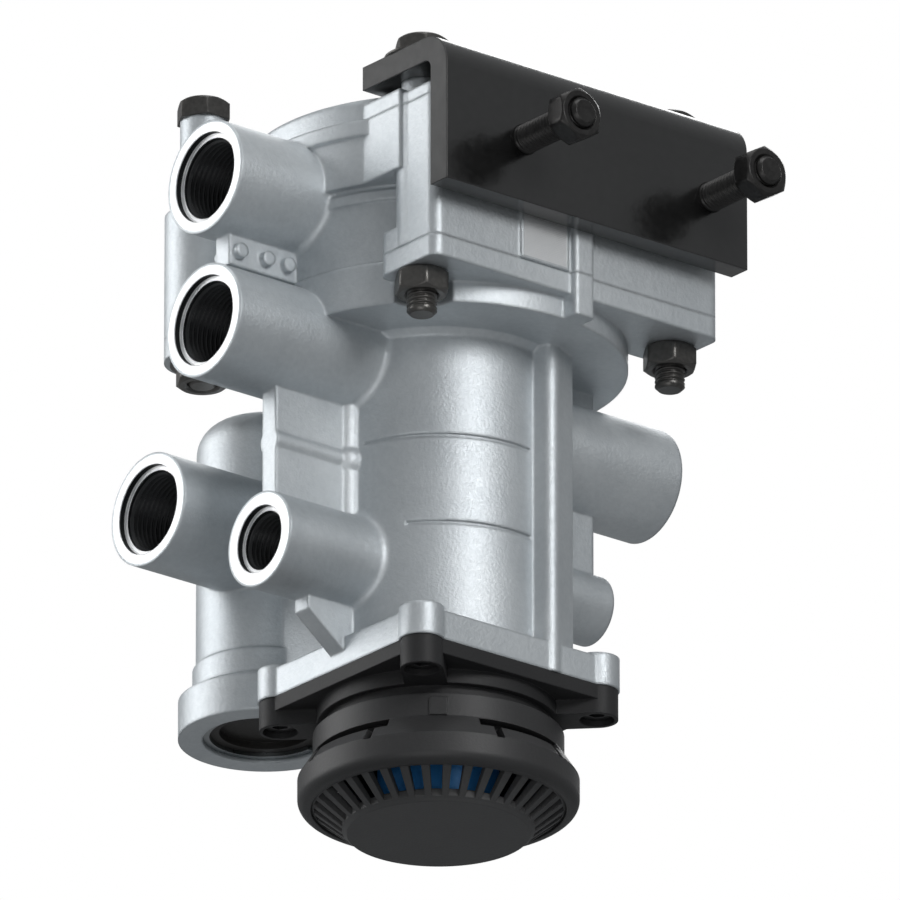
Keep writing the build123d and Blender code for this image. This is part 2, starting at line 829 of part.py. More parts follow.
# Control piston: the upper piston with its long stem
with BuildPart() as control_piston:
    control_r = control_bore_r - running_fit
    control_ring_height = control_disc_bottom + control_disc_height / 2
    with BuildSketch(meridian):
        with BuildLine():
            Polyline(
                (0, relay_disc_top + seat_fit),
                (control_stem_r, relay_disc_top + seat_fit),
                (control_stem_r, control_disc_bottom),
                (control_r, control_disc_bottom),
                (control_r, control_disc_top),
                (control_r - control_dish_wall, control_disc_top),
                (control_r - control_dish_wall, control_disc_top - control_dish),
                (control_hub_r_top, control_disc_top - control_dish),
                (control_hub_r_top, control_disc_top),
                (0, control_disc_top),
                close=True,
            )
        make_face()
        piston_groove(control_r, control_ring_height)
    revolve(axis=column_axis)
control_piston.part.label = "control_piston"
export_step(control_piston.part, "parts/control_piston.step")

with BuildPart() as control_piston_ring:
    revolve(seal_ring(control_r, control_r - ring_depth + ring_fit, control_ring_height), axis=column_axis)
control_piston_ring.part.label = "control_piston_ring"
export_step(control_piston_ring.part, "parts/control_piston_ring.step")

# Relay piston: its hollow lip is the exhaust seat
with BuildPart() as relay_piston:
    relay_r = relay_bore_r - running_fit
    relay_ring_height = relay_disc_bottom + relay_disc_height / 2
    relay_lip = seat_height + exhaust_gap
    with BuildSketch(meridian):
        with BuildLine():
            Polyline(
                (0, relay_lip + relay_lip_depth),
                (relay_stem_r - relay_lip_wall, relay_lip + relay_lip_depth),
                (relay_stem_r - relay_lip_wall, relay_lip),
                (relay_stem_r, relay_lip),
                (relay_stem_r, relay_disc_bottom),
                (relay_r, relay_disc_bottom),
                (relay_r, relay_disc_top),
                (0, relay_disc_top),
                close=True,
            )
        make_face()
        piston_groove(relay_r, relay_ring_height)
    revolve(axis=column_axis)
relay_piston.part.label = "relay_piston"
export_step(relay_piston.part, "parts/relay_piston.step")

with BuildPart() as relay_piston_ring:
    revolve(seal_ring(relay_r, relay_r - ring_depth + ring_fit, relay_ring_height), axis=column_axis)
relay_piston_ring.part.label = "relay_piston_ring"
export_step(relay_piston_ring.part, "parts/relay_piston_ring.step")

# Inlet valve: a sleeve with a head, and the rubber face bonded to it
with BuildPart() as inlet_valve:
    valve_face_top = seat_height - seat_fit
    valve_face_bottom = valve_face_top - valve_face_height
    valve_head_bottom = valve_face_bottom - valve_head_height
    with BuildSketch(meridian):
        with BuildLine():
            Polyline(
                (valve_hollow_r, valve_sleeve_bottom),
                (valve_sleeve_r, valve_sleeve_bottom),
                (valve_sleeve_r, valve_head_bottom),
                (valve_head_r, valve_head_bottom),
                (valve_head_r, valve_face_bottom),
                (valve_hollow_r, valve_face_bottom),
                close=True,
            )
        make_face()
    revolve(axis=column_axis)
inlet_valve.part.label = "inlet_valve"
export_step(inlet_valve.part, "parts/inlet_valve.step")

with BuildPart() as valve_face:
    post(valve_face_bottom, (0, 0), valve_face_r, valve_face_height)
    post(valve_face_bottom, (0, 0), valve_hollow_r, valve_face_height, Mode.SUBTRACT)
valve_face.part.label = "valve_face"
export_step(valve_face.part, "parts/valve_face.step")

# Valve guide, held against its shoulder by the exhaust flange
with BuildPart() as valve_guide:
    guide_r = guide_bore_r - spigot_fit
    guide_bottom = guide_shoulder - guide_flange_height
    guide_ring_middle = guide_bottom + guide_flange_height / 2
    with BuildSketch(meridian):
        with BuildLine():
            Polyline(
                (valve_sleeve_r + running_fit, guide_bottom),
                (guide_r, guide_bottom),
                (guide_r, guide_shoulder),
                (guide_sleeve_r, guide_shoulder),
                (guide_sleeve_r, guide_top),
                (valve_sleeve_r + running_fit, guide_top),
                close=True,
            )
        make_face()
        piston_groove(guide_r, guide_ring_middle)
        with Locations((valve_sleeve_r + running_fit + ring_depth / 2, guide_ring_height)):
            Rectangle(ring_depth, ring_width, mode=Mode.SUBTRACT)
    revolve(axis=column_axis)
valve_guide.part.label = "valve_guide"
export_step(valve_guide.part, "parts/valve_guide.step")

with BuildPart() as valve_guide_rings:
    revolve(seal_ring(guide_r, guide_r - ring_depth + ring_fit, guide_ring_middle), axis=column_axis)
    sleeve_bore = valve_sleeve_r + running_fit
    revolve(seal_ring(sleeve_bore + ring_depth - ring_fit, sleeve_bore, guide_ring_height), axis=column_axis)
valve_guide_rings.part.label = "valve_guide_rings"
export_step(valve_guide_rings.part, "parts/valve_guide_rings.step")

with BuildPart() as valve_spring:
    coil(valve_spring_r, valve_spring_wire_r, valve_spring_turns, guide_top, valve_head_bottom)
valve_spring.part.label = "valve_spring"
export_step(valve_spring.part, "parts/valve_spring.step")

# Exhaust flange: the square plate with the neck that carries the silencer
with BuildPart() as exhaust_flange:
    with BuildSketch(level(plate_bottom)):
        RectangleRounded(2 * foot_half, 2 * foot_half, foot_corner_r)
    extrude(amount=plate_thickness)
    lug_bottom = plate_bottom - lug_height
    for point in screw_points:
        post(lug_bottom, point, lug_r, lug_height + plate_thickness)
        radial_web(lug_bottom, point, 2 * lug_r, lug_height)
    post(plate_bottom - plate_rim_height, (0, 0), plate_rim_r, plate_rim_height)
    post(neck_bottom, (0, 0), neck_r, neck_length)
    post(0, (0, 0), guide_r, guide_bottom)
    post(neck_bottom, (0, 0), neck_r - neck_wall, neck_length, Mode.SUBTRACT)
    post(plate_bottom, (0, 0), exhaust_hole_r, plate_thickness + guide_bottom, Mode.SUBTRACT)
    for point in screw_points:
        post(lug_bottom, point, pocket_r, pocket_depth, Mode.SUBTRACT)
        post(plate_bottom, point, screw_r + bolt_clearance / 2, plate_thickness, Mode.SUBTRACT)
exhaust_flange.part.label = "exhaust_flange"
export_step(exhaust_flange.part, "parts/exhaust_flange.step")

with BuildPart() as exhaust_flange_screws:
    screw_seat = lug_bottom + pocket_depth
    for point in screw_points:
        post(screw_seat, point, screw_r, screw_length)
        post(screw_seat - screw_head_height, point, screw_head_r, screw_head_height)
        with BuildSketch(level(screw_seat - screw_head_height, *point)) as socket:
            RegularPolygon(screw_socket_flats / math.sqrt(3), 6)
        extrude(socket.sketch, amount=screw_socket_depth, mode=Mode.SUBTRACT)
exhaust_flange_screws.part.label = "exhaust_flange_screws"
export_step(exhaust_flange_screws.part, "parts/exhaust_flange_screws.step")

# Silencer housing: a sleeve with clip slots that flares to a wider rim with a snap lip
with BuildPart() as silencer_housing:
    sleeve_bore_r = neck_r + sleeve_fit
    with BuildSketch(meridian):
        with BuildLine():
            Polyline(
                (sleeve_bore_r, sleeve_top),
                (sleeve_r, sleeve_top),
                (sleeve_r, flare_top),
                (rim_outer_r, flare_bottom),
                (rim_outer_r, rim_foot),
                (lip_r, rim_foot),
                (lip_r, lip_top),
                (rim_bore_r, lip_top),
                (rim_bore_r, flare_bottom - rim_wall / 2),
                (sleeve_bore_r, neck_bottom),
                close=True,
            )
        make_face()
        fillet(vertices().group_by(Axis.X)[-1].sort_by(Axis.Y)[0], rim_edge_r)
    revolve(axis=column_axis)
    with Locations(level(flare_top) * Rot(0, 0, tab_turn) * Pos(sleeve_r, 0, 0)):
        Box(2 * tab_proud, tab_width, tab_height, align=standing)
    with BuildSketch(meridian) as slot_section:
        with Locations((rim_outer_r, clip_top - clip_width / 2)):
            Rectangle(2 * (rim_outer_r - neck_r), clip_width)
    with BuildSketch(meridian) as drop_section:
        with Locations((rim_outer_r, clip_top - clip_drop / 2)):
            Rectangle(2 * (rim_outer_r - neck_r), clip_drop)
    for index in range(clip_count):
        turn = clip_start + index * 360 / clip_count
        slot = slot_section.sketch.rotate(column_axis, turn)
        revolve(slot, axis=column_axis, revolution_arc=clip_turn, mode=Mode.SUBTRACT)
        for inset in (clip_drop_inset, clip_turn - clip_drop_inset - clip_drop_turn):
            drop = drop_section.sketch.rotate(column_axis, turn + inset)
            revolve(drop, axis=column_axis, revolution_arc=clip_drop_turn, mode=Mode.SUBTRACT)
silencer_housing.part.label = "silencer_housing"
export_step(silencer_housing.part, "parts/silencer_housing.step")

# Silencer cap: the slotted cone and its disc, snapped in behind the rim's lip
with BuildPart() as silencer_cap:
    cap_seat = lip_top + seat_fit
    cone_r = lip_r - spigot_fit
    disc_top = disc_bottom + disc_thickness
    with BuildSketch(meridian):
        with BuildLine():
            Polyline(
                (cap_skirt_r - cap_wall, cap_seat + cap_skirt_height),
                (cap_skirt_r, cap_seat + cap_skirt_height),
                (cap_skirt_r, cap_seat),
                (cone_r, cap_seat),
                (cone_r, rim_foot + disc_step),
                (disc_r + disc_step, disc_bottom + disc_step),
                (disc_r, disc_bottom),
                (0, disc_bottom),
                (0, disc_top),
                (disc_r, disc_top),
                (cone_r - cap_wall, cap_seat),
                (cap_skirt_r - cap_wall, cap_seat + cap_wall),
                close=True,
            )
        make_face()
    revolve(axis=column_axis)
    with BuildSketch(meridian) as slot_section:
        with Locations(((slot_inner_r + slot_outer_r) / 2, rim_foot)):
            Rectangle(slot_outer_r - slot_inner_r, 2 * (rim_foot - disc_bottom))
    for index in range(slot_count):
        slot = slot_section.sketch.rotate(column_axis, index * 360 / slot_count - slot_turn / 2)
        revolve(slot, axis=column_axis, revolution_arc=slot_turn, mode=Mode.SUBTRACT)
silencer_cap.part.label = "silencer_cap"
export_step(silencer_cap.part, "parts/silencer_cap.step")

with BuildPart() as silencer_element:
    element_bottom = disc_bottom + disc_thickness
    element_length = plate_bottom - element_bottom
    post(element_bottom, (0, 0), element_r, element_length)
    post(element_bottom, (0, 0), element_r - element_wall, element_length, Mode.SUBTRACT)
silencer_element.part.label = "silencer_element"
export_step(silencer_element.part, "parts/silencer_element.step")

# Throttle spool in the side cylinder
with BuildPart() as throttle_spool:
    with BuildSketch(side_meridian):
        with BuildLine():
            Polyline(
                (0, spool_bottom),
                (spool_land_r, spool_bottom),
                (spool_land_r, spool_bottom + spool_land),
                (spool_waist_r, spool_bottom + spool_land),
                (spool_waist_r, spool_top - spool_land),
                (spool_land_r, spool_top - spool_land),
                (spool_land_r, spool_top),
                (spool_stop_r, spool_top),
                (spool_stop_r, spool_bore_top - seat_fit),
                (0, spool_bore_top - seat_fit),
                close=True,
            )
        make_face()
        for height in (spool_bottom + spool_land / 2, spool_top - spool_land / 2):
            piston_groove(spool_land_r, height)
    revolve(axis=side_axis)
throttle_spool.part.label = "throttle_spool"
export_step(throttle_spool.part, "parts/throttle_spool.step")

with BuildPart() as throttle_spool_rings:
    for height in (spool_bottom + spool_land / 2, spool_top - spool_land / 2):
        section = seal_ring(spool_land_r, spool_land_r - ring_depth + ring_fit, height, side_meridian)
        revolve(section, axis=side_axis)
throttle_spool_rings.part.label = "throttle_spool_rings"
export_step(throttle_spool_rings.part, "parts/throttle_spool_rings.step")

with BuildPart() as throttle_spring:
    coil(
        spool_spring_r,
        spool_spring_wire_r,
        spool_spring_turns,
        plug_bottom + plug_floor,
        spool_bottom,
        (side_x, side_y),
    )
throttle_spring.part.label = "throttle_spring"
export_step(throttle_spring.part, "parts/throttle_spring.step")

# Side plug, its ring and the snap ring that holds it
with BuildPart() as side_plug:
    plug_r = plug_bore_r - spigot_fit
    plug_ring_height = (plug_bottom + spool_bore_bottom) / 2
    spring_pocket_r = spool_spring_r + spool_spring_wire_r + spring_room
    spool_stop = spool_bottom - spool_travel - seat_fit
    with BuildSketch(side_meridian):
        with BuildLine():
            Polyline(
                (0, plug_bottom + plug_dish_depth),
                (plug_dish_r, plug_bottom + plug_dish_depth),
                (plug_dish_r, plug_bottom),
                (plug_r, plug_bottom),
                (plug_r, spool_bore_bottom - seat_fit),
                (spool_bore_r - spigot_fit, spool_bore_bottom - seat_fit),
                (spool_bore_r - spigot_fit, spool_stop),
                (spring_pocket_r, spool_stop),
                (spring_pocket_r, plug_bottom + plug_floor),
                (0, plug_bottom + plug_floor),
                close=True,
            )
        make_face()
        piston_groove(plug_r, plug_ring_height)
    revolve(axis=side_axis)
side_plug.part.label = "side_plug"
export_step(side_plug.part, "parts/side_plug.step")

with BuildPart() as side_plug_ring:
    section = seal_ring(plug_r, plug_r - ring_depth + ring_fit, plug_ring_height, side_meridian)
    revolve(section, axis=side_axis)
side_plug_ring.part.label = "side_plug_ring"
export_step(side_plug_ring.part, "parts/side_plug_ring.step")

with BuildPart() as side_snap_ring:
    snap_outer_r = plug_bore_r + snap_groove_depth - seat_fit
    snap_inner_r = plug_bore_r - snap_ring_proud
    snap_height = snap_ring_height - 2 * ring_fit
    with BuildSketch(side_meridian) as snap_section:
        with Locations(((snap_outer_r + snap_inner_r) / 2, plug_bottom - snap_ring_height / 2)):
            Rectangle(snap_outer_r - snap_inner_r, snap_height)
    revolve(axis=side_axis, revolution_arc=360 - snap_ring_opening)
side_snap_ring.part.label = "side_snap_ring"
export_step(side_snap_ring.part, "parts/side_snap_ring.step")
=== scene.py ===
import bpy
import json
import math
import numpy as np
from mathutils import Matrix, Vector


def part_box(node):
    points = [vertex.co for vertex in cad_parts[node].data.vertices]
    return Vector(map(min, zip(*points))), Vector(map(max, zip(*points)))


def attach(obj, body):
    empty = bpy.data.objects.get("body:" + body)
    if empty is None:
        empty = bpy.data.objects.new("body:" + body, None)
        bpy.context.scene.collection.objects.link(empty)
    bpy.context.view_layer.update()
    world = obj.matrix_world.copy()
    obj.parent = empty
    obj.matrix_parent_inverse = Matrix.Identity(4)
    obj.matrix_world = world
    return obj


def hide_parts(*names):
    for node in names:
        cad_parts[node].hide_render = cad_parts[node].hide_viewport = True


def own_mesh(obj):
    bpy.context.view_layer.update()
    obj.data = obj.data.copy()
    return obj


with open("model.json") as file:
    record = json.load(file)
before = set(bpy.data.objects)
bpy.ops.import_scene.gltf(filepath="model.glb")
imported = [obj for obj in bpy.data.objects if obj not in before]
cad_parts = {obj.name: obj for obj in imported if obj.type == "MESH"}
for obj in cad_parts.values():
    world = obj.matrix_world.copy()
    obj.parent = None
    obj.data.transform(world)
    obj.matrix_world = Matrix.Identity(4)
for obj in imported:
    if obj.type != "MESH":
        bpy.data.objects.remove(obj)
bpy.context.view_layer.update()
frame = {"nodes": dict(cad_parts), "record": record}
print("frame loaded:", len(frame["nodes"]), "nodes")

mm = 0.001
fullTurn = 2 * math.pi
white = (1.0, 1.0, 1.0, 1.0)
bevelSamples = 6  # rays by which the shader finds an edge to round
columnAxis = (-10.5, 62.0)  # x and y in mm of the column, the pistons and the inlet valve
sideAxis = (-26.5, 115.0)  # x and y in mm of the side cylinder and its spool


# A socket of a node takes a link or a plain value
def feed(tree, slot, value):
    if isinstance(value, Socket):
        tree.links.new(value.link, slot)
    else:
        slot.default_value = value


# Shader building: a wrapped socket takes part in plain arithmetic
class Socket:
    def __init__(self, tree, link):
        self.tree = tree
        self.link = link

    def math(self, operation, *values, clamp=False):
        made = self.tree.nodes.new("ShaderNodeMath")
        made.operation = operation
        made.use_clamp = clamp
        for slot, value in zip(made.inputs, values):
            feed(self.tree, slot, value)
        return Socket(self.tree, made.outputs[0])

    def __add__(self, other):
        return self.math("ADD", self, other)

    def __radd__(self, other):
        return self.math("ADD", other, self)

    def __sub__(self, other):
        return self.math("SUBTRACT", self, other)

    def __rsub__(self, other):
        return self.math("SUBTRACT", other, self)

    def __mul__(self, other):
        return self.math("MULTIPLY", self, other)

    def __rmul__(self, other):
        return self.math("MULTIPLY", other, self)

    def __pow__(self, other):
        return self.math("POWER", self, other)

    def __abs__(self):
        return self.math("ABSOLUTE", self)

    def sin(self):
        return self.math("SINE", self)

    def most(self, other):
        return self.math("MAXIMUM", self, other)

    # Held between 0 and 1
    def limit(self):
        return self.math("ADD", self, 0.0, clamp=True)

    # 0 at the first value, 1 at the second, and straight between them
    def ramp(self, zeroAt, oneAt):
        return ((self - zeroAt) * (1.0 / (oneAt - zeroAt))).limit()

    # A ramp between two places in mm, both counted from a size in mm
    def band(self, ends, size=0.0):
        return self.ramp((size + ends[0]) * mm, (size + ends[1]) * mm)

    # Even waves between 0 and 1, one for each pitch
    def waves(self, pitch):
        return (self * (fullTurn / pitch)).sin() * 0.5 + 0.5


# The node tree of a material or of the world
class Finish:
    def __init__(self, holder, outputKind="ShaderNodeOutputMaterial"):
        holder.use_nodes = True
        self.holder = holder
        self.tree = holder.node_tree
        self.tree.nodes.clear()
        self.output = self.tree.nodes.new(outputKind)

    # One node of any type: its settings first, then the values or links of its sockets, by name or,
    # as i0, by number; a tuple of outputs gives a list
    def node(self, kind, settings=None, output=0, **sockets):
        made = self.tree.nodes.new(kind)
        for key, value in (settings or {}).items():
            setattr(made, key, value)
        for key, value in sockets.items():
            numbered = key[0] == "i" and key[1:].isdigit()
            socket = int(key[1:]) if numbered else key.replace("_", " ")
            feed(self.tree, made.inputs[socket], value)
        if isinstance(output, tuple):
            return [Socket(self.tree, made.outputs[key]) for key in output]
        return Socket(self.tree, made.outputs[output])

    def place(self, shift=(0.0, 0.0, 0.0)):
        where = self.node("ShaderNodeTexCoord", output="Object")
        return self.node("ShaderNodeMapping", Vector=where, Location=shift)

    def axes(self, where):
        return self.node("ShaderNodeSeparateXYZ", output=(0, 1, 2), Vector=where)

    def noise(self, where, scale, detail=2.0, roughness=0.5):
        return self.node("ShaderNodeTexNoise", Vector=where, Scale=scale, Detail=detail, Roughness=roughness)

    def mix(self, amount, first, second):
        first, second = (tone if isinstance(tone, Socket) else (*tone, 1.0) for tone in (first, second))
        return self.node("ShaderNodeMix", {"data_type": "RGBA"}, output=2, i0=amount, i6=first, i7=second)

    # Camera rays and rays through glass see white, and metal sees a share of it
    def whiteSeen(self, seenShare, metalShare):
        camera, through, metal = self.node(
            "ShaderNodeLightPath", output=("Is Camera Ray", "Is Transmission Ray", "Is Glossy Ray"))
        return (camera.most(through) * seenShare).most(metal * metalShare)

    def surface(self, colour, roughness, metallic, height, depth, edge=0.0, specular=0.5):
        rounded = {}
        if edge:
            rounded["Normal"] = self.node("ShaderNodeBevel", {"samples": bevelSamples}, Radius=edge)
        normal = self.node("ShaderNodeBump", Height=height, Distance=depth, Strength=1.0, **rounded)
        return self.show(self.node(
            "ShaderNodeBsdfPrincipled", Base_Color=colour, Roughness=roughness, Metallic=metallic,
            Specular_IOR_Level=specular, Normal=normal))

    def show(self, shader):
        self.tree.links.new(shader.link, self.output.inputs[0])
        return self.holder


def newFinish(name):
    return Finish(bpy.data.materials.new(name))


# Ports, by the radius of their thread in mm
portLook = {
    "mouthDepth": 1.8,
    "mouthStep": {11.0: 1.3, 8.0: 1.2, 6.0: 1.0},
    "facedR": {11.0: 14.6, 8.0: 12.2, 6.0: 8.8},
}


# Each port from the record's mounts: the middle of its face, the way it points and its radii, in mm
def portPlaces():
    places = {}
    for mount in frame["record"]["mounts"]:
        if mount["kind"] != "threaded_hole":
            continue
        side = mount["axis"][0]
        threadR = mount["dims"]["r_mm"]
        length = mount["dims"]["length_mm"]
        x, y, z = (value / mm for value in mount["pos_m"])
        face = x + side * (portLook["mouthDepth"] + length / 2)
        places[mount["name"]] = {
            "face": (face, y, z), "side": side, "threadR": threadR, "length": length,
            "mouthR": threadR + portLook["mouthStep"][threadR],
            "facedR": portLook["facedR"][threadR],
        }
    return places


ports = portPlaces()

# The masks of a port, each by the places in mm where it is 0 and where it is 1: past the faced radius
# and behind the face, away from the thread's shoulder and past its radius, and round and along the bore,
# which is painted dark as shade
portMask = {
    "faceR": (0.2, 0.0), "faceSkin": (0.16, 0.08), "shoulder": (0.12, 0.04), "shoulderR": (0.3, 0.1),
    "boreR": (0.12, 0.05), "boreStart": (0.1, 0.3), "boreEnd": (60.0, 40.0),
}


# Masks of the faced metal and of the bore's painted shade of one port, and the distance from its axis
def portMasks(port, x, y, z):
    faceX, faceY, faceZ = (value * mm for value in port["face"])
    depth = (x - faceX) * -port["side"]
    across = y - faceY
    above = z - faceZ
    radius = (across * across + above * above) ** 0.5
    skin = depth.band(portMask["faceSkin"])
    shoulder = abs(depth - portLook["mouthDepth"] * mm).band(portMask["shoulder"])
    shoulder = shoulder * radius.band(portMask["shoulderR"], port["mouthR"])
    faced = ((skin + shoulder) * radius.band(portMask["faceR"], port["facedR"])).limit()
    bore = radius.band(portMask["boreR"], port["mouthR"])
    bore = bore * depth.band(portMask["boreStart"]) * depth.band(portMask["boreEnd"])
    return faced, (bore - faced).limit(), radius


# A noise is given here and below as its scale, its detail and, for some, its roughness
castLook = {
    "colour": (0.49, 0.525, 0.55), "pale": (0.625, 0.657, 0.677), "metallic": 0.72,
    "grain": (1150.0, 3.0, 0.6), "cloud": (34.0, 3.0, 0.55), "speck": (620.0, 2.0),
    "speckShare": 0.3, "toneRamp": (0.3, 0.7),
    "roughness": 0.50, "grainRough": 0.16, "cloudRough": 0.1,
    "depth": 0.11 * mm, "edge": 1.3 * mm,
    "machined": (0.90, 0.91, 0.92), "machinedRough": 0.34, "dark": (0.012, 0.013, 0.014),
    "rings": 0.22 * mm, "ringHeight": 0.18,
}

# The milled pad on the front of the upper housing: its x and z range and its face's y, in mm
padLook = {
    "x": (-26.0, -10.0), "z": (-29.0, -15.0), "face": 8.2, "skin": (0.2, 0.1), "rim": (-0.6, -0.9),
    "shine": 0.9, "lines": 0.5 * mm, "lineHeight": 0.3, "polish": 0.1,
}


def castAlloy(name, portNames, pad=None):
    look = castLook
    finish = newFinish(name)
    where = finish.place()
    x, y, z = finish.axes(where)
    grain = finish.noise(where, *look["grain"])
    cloud = finish.noise(where, *look["cloud"])
    speck = finish.noise(where, *look["speck"])
    tone = cloud * (1.0 - look["speckShare"]) + speck * look["speckShare"]
    colour = finish.mix(tone.ramp(*look["toneRamp"]), look["colour"], look["pale"])
    roughness = look["roughness"] + (grain - 0.5) * look["grainRough"] + (cloud - 0.5) * look["cloudRough"]
    height = grain
    for key in portNames:
        faced, bore, radius = portMasks(ports[key], x, y, z)
        # The bore is painted near black: painted shade inside the hole, not the alloy's own colour
        colour = finish.mix(bore, colour, look["dark"])
        colour = finish.mix(faced, colour, look["machined"])
        # Fine rings that the facing tool leaves
        rings = radius.waves(look["rings"])
        height = height * (1.0 - faced) + rings * faced * look["ringHeight"]
        roughness = roughness * (1.0 - faced) + faced * look["machinedRough"]
    if pad:
        milled = y.band(pad["skin"], pad["face"])
        for along, (low, high) in ((x, pad["x"]), (z, pad["z"])):
            fromMiddle = abs(along - (low + high) / 2 * mm)
            milled = milled * fromMiddle.band(pad["rim"], (high - low) / 2)
        colour = finish.mix(milled * pad["shine"], colour, look["machined"])
        height = height * (1.0 - milled) + z.waves(pad["lines"]) * milled * pad["lineHeight"]
        roughness = roughness - milled * pad["polish"]
    return finish.surface(colour, roughness.limit(), look["metallic"], height, look["depth"], look["edge"])


turnedLook = {
    "alloy": (0.72, 0.73, 0.74), "valveBrass": (0.72, 0.53, 0.27), "guideBrass": (0.66, 0.50, 0.27),
    "dim": 0.9,  # how much of the colour the darker patches keep
    "smear": (240.0, 3.0), "toneRamp": (0.35, 0.65), "roughness": 0.26, "smearRough": 0.14,
    "pitch": 0.3 * mm, "lineShare": 0.6, "depth": 0.02 * mm, "edge": 0.25 * mm,
}


# Metal from a lathe, with the tool's lines round the axis that the piece was turned on
def turnedMetal(name, colour, axis=columnAxis):
    look = turnedLook
    finish = newFinish(name)
    where = finish.place((-axis[0] * mm, -axis[1] * mm, 0.0))
    x, y, z = finish.axes(where)
    radius = (x * x + y * y) ** 0.5
    lines = (radius + z).waves(look["pitch"])
    smear = finish.noise(where, *look["smear"])
    mixed = finish.mix(smear.ramp(*look["toneRamp"]), tuple(part * look["dim"] for part in colour), colour)
    roughness = look["roughness"] + smear * look["smearRough"]
    height = lines * look["lineShare"] + smear * (1.0 - look["lineShare"])
    return finish.surface(mixed, roughness, 1.0, height, look["depth"], look["edge"])


# Paint, black oxide and moulded plastic, and the port threads' painted shade: first what they share, and then
# each one's own values, its edges' radius in mm among them
coatLook = {
    "cloud": (40.0, 3.0), "peelShare": 0.4, "toneRamp": (0.35, 0.65), "peelRough": 0.14,
    "depth": 0.045 * mm, "sawn": (-0.4, -0.1), "sawnRough": 0.45,
}
coats = {
    "bracket": {
        "name": "blackCoatBracket", "colour": (0.007, 0.007, 0.007), "pale": (0.010, 0.010, 0.010),
        "roughness": 0.20, "peel": 420.0, "edge": 0.6, "specular": 1.0, "sawnNode": "frame_bracket",
    },
    "flange": {
        "name": "blackPlasticFlange", "colour": (0.020, 0.020, 0.021), "pale": (0.026, 0.026, 0.027),
        "roughness": 0.56, "peel": 1500.0, "edge": 0.5, "specular": 0.3,
    },
    "sleeve": {
        "name": "blackPlasticSilencer", "colour": (0.030, 0.030, 0.031), "pale": (0.037, 0.037, 0.038),
        "roughness": 0.50, "peel": 1500.0, "edge": 0.5, "specular": 0.4,
    },
    "cap": {
        "name": "blackPlasticCap", "colour": (0.058, 0.058, 0.059), "pale": (0.067, 0.067, 0.068),
        "roughness": 0.54, "peel": 1500.0, "edge": 0.35, "specular": 0.4,
    },
    "plug": {
        "name": "blackPlasticPlug", "colour": (0.020, 0.019, 0.018), "pale": (0.028, 0.026, 0.024),
        "roughness": 0.50, "peel": 1400.0, "edge": 0.4, "specular": 0.3,
    },
    "fastener": {
        "name": "darkFastenerSteel", "colour": (0.075, 0.073, 0.070), "pale": (0.12, 0.116, 0.110),
        "roughness": 0.36, "metallic": 0.8, "peel": 900.0, "edge": 0.3,
    },
    "stud": {
        "name": "blackStudSteel", "colour": (0.026, 0.025, 0.025), "pale": (0.046, 0.045, 0.044),
        "roughness": 0.36, "metallic": 0.7, "peel": 900.0, "edge": 0.3,
    },
    # The port threads are painted near black as the shade inside the holes, not as the alloy's colour
    "portThread": {
        "name": "darkThread", "colour": (0.020, 0.021, 0.022), "pale": (0.036, 0.038, 0.040),
        "roughness": 0.34, "metallic": 0.5, "peel": 1200.0, "edge": 0.0,
    },
}


def coat(name, colour, pale, roughness, peel, edge, metallic=0.0, specular=0.5, sawnNode=None):
    look = coatLook
    finish = newFinish(name)
    where = finish.place()
    peelNoise = finish.noise(where, peel)
    cloud = finish.noise(where, *look["cloud"])
    tone = cloud * (1.0 - look["peelShare"]) + peelNoise * look["peelShare"]
    mixed = finish.mix(tone.ramp(*look["toneRamp"]), colour, pale)
    rough = roughness + (peelNoise - 0.5) * look["peelRough"]
    if sawnNode:
        # The sawn end faces take the paint more roughly than the rolled faces do
        low, high = (corner[0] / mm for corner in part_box(sawnNode))
        fromMiddle = abs(finish.axes(where)[0] - (low + high) / 2 * mm)
        rough = rough + fromMiddle.band(look["sawn"], (high - low) / 2) * look["sawnRough"]
    return finish.surface(mixed, rough, metallic, peelNoise, look["depth"], edge * mm, specular)


steelLook = {
    "dim": 0.85,  # how much of the colour the darker patches keep
    "streak": (700.0, 3.0), "cloud": (90.0, 2.0), "toneRamp": (0.3, 0.7), "streakRough": 0.16,
    "depth": 0.02 * mm, "edge": 0.2 * mm,
}


def brightSteel(name, colour=(0.46, 0.47, 0.49), roughness=0.28):
    look = steelLook
    finish = newFinish(name)
    where = finish.place()
    streak = finish.noise(where, *look["streak"])
    cloud = finish.noise(where, *look["cloud"])
    mixed = finish.mix(cloud.ramp(*look["toneRamp"]), tuple(part * look["dim"] for part in colour), colour)
    rough = roughness + (streak - 0.5) * look["streakRough"]
    return finish.surface(mixed, rough, 1.0, streak, look["depth"], look["edge"])


rubberLook = {
    "colour": (0.012, 0.012, 0.012), "pale": (0.026, 0.026, 0.027), "toneRamp": (0.4, 0.7),
    "bloom": (260.0, 3.0), "roughness": 0.62, "bloomRough": 0.2, "depth": 0.03 * mm,
}


def sealRubber(name):
    look = rubberLook
    finish = newFinish(name)
    bloom = finish.noise(finish.place(), *look["bloom"])
    mixed = finish.mix(bloom.ramp(*look["toneRamp"]), look["colour"], look["pale"])
    rough = look["roughness"] + (bloom - 0.5) * look["bloomRough"]
    return finish.surface(mixed, rough, 0.0, bloom, look["depth"])


blueLook = {
    "colour": (0.024, 0.21, 0.56), "pale": (0.032, 0.26, 0.66), "toneRamp": (0.3, 0.7),
    "grain": (1400.0, 2.0), "cloud": (70.0, 2.0), "roughness": 0.48, "grainRough": 0.12,
    "depth": 0.03 * mm, "edge": 0.2 * mm,
}


def bluePlastic(name):
    look = blueLook
    finish = newFinish(name)
    where = finish.place()
    grain = finish.noise(where, *look["grain"])
    cloud = finish.noise(where, *look["cloud"])
    mixed = finish.mix(cloud.ramp(*look["toneRamp"]), look["colour"], look["pale"])
    rough = look["roughness"] + (grain - 0.5) * look["grainRough"]
    return finish.surface(mixed, rough, 0.0, grain, look["depth"], look["edge"])


